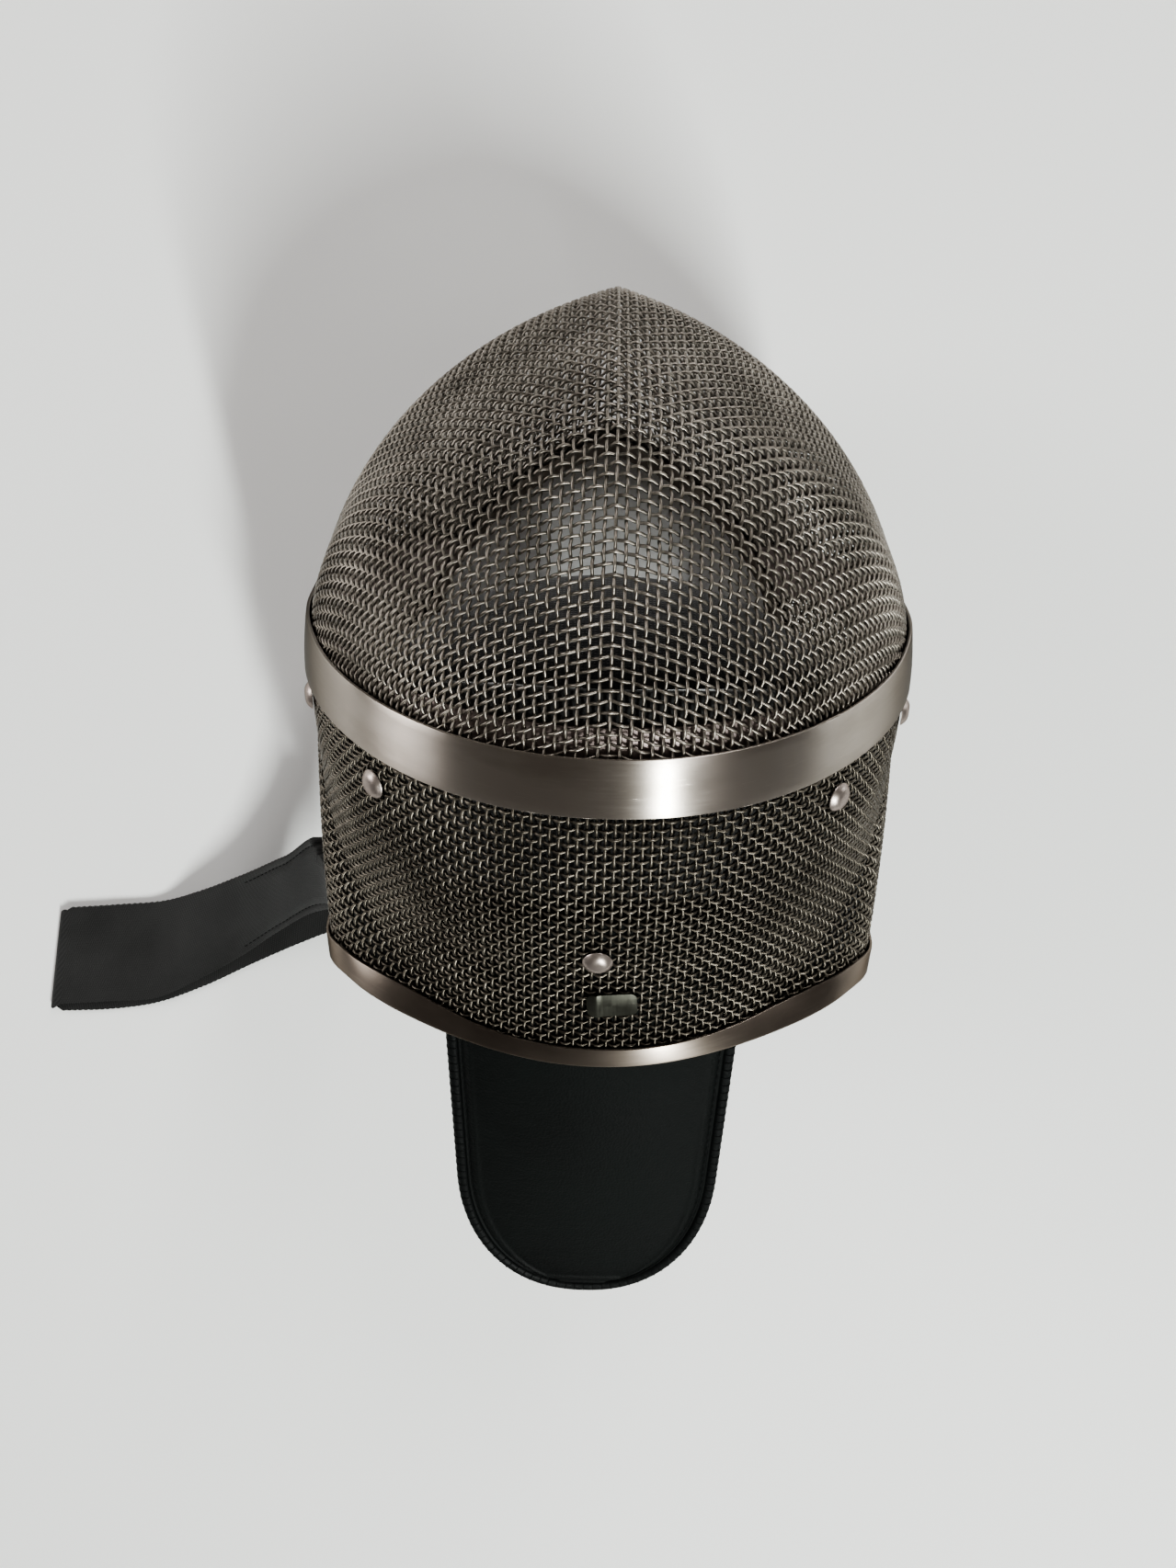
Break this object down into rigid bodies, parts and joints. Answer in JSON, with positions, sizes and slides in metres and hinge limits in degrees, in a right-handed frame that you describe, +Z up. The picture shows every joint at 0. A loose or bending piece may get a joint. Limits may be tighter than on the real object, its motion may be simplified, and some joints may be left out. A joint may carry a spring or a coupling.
{
  "type": "fencing mask",
  "caption": "Fencing mask without a bib: wire face mesh and crown mesh under a steel band, leather tongue at the back, forehead pad, dark cloth crown lining and loose elastic strap.",
  "frame": {"origin": "middle of the chin on the underside of the jaw rim, on the table the mask stands on", "axes": "+Z up, -Y the way the face looks, +X the wearer's left, where the loose strap lies"},
  "size_m": [0.3649, 0.3705, 0.2379],
  "materials": {
    "wire_mesh": "woven stainless wire, dull brown-grey",
    "fine_wire_mesh": "finer woven stainless wire, dull brown-grey",
    "brushed_band": "brushed, lightly scratched",
    "edge_strip": "satin, folded strip",
    "rivet_steel": "polished by wear",
    "black_leather": "matte, fine grain",
    "leather_binding": "rolled edge, satin",
    "charcoal_cloth": "brushed cloth",
    "black_elastic": "ribbed woven elastic"
  },
  "bodies": {
    "root": {"face_mesh": "wire_mesh", "crown_mesh": "fine_wire_mesh", "outer_band": "brushed_band", "inner_band": "edge_strip", "crown_rim": "edge_strip", "jaw_rim": "edge_strip", "rivet_rear": "rivet_steel", "rivet_crown_left": "rivet_steel", "rivet_crown_right": "rivet_steel", "rivet_side_left": "rivet_steel", "rivet_side_right": "rivet_steel", "size_tag": "rivet_steel", "tongue": "black_leather", "tongue_binding": "leather_binding", "forehead_pad": "charcoal_cloth", "crown_lining": "charcoal_cloth", "strap": "black_elastic"}
  },
  "joints": []
}
